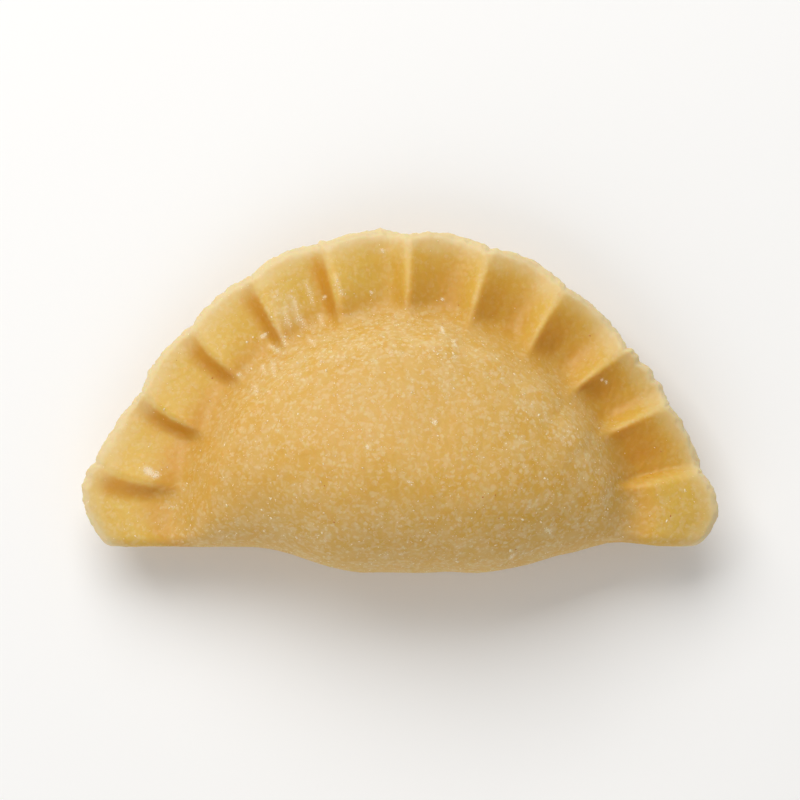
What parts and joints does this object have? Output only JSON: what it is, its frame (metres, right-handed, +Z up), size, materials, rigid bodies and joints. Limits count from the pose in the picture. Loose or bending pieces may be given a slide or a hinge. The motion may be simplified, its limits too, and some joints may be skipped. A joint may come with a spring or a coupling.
{
  "type": "raw pierogi dumpling",
  "caption": "Plump half-moon dumpling of raw egg dough, folded over a filling, its curved rim pressed shut in slanting crimps. Lies on its side on a small flat spot.",
  "frame": {"origin": "on the surface the dumpling rests on, under the middle of its box", "axes": "+X along the dumpling from its left tip to its right tip, +Y from the fold to the crimped rim, +Z up, square to the flat of the rim"},
  "size_m": [0.0898, 0.0482, 0.0271],
  "materials": {
    "egg_dough": "matt, floured"
  },
  "bodies": {
    "root": {"dumpling": "egg_dough"}
  },
  "joints": []
}
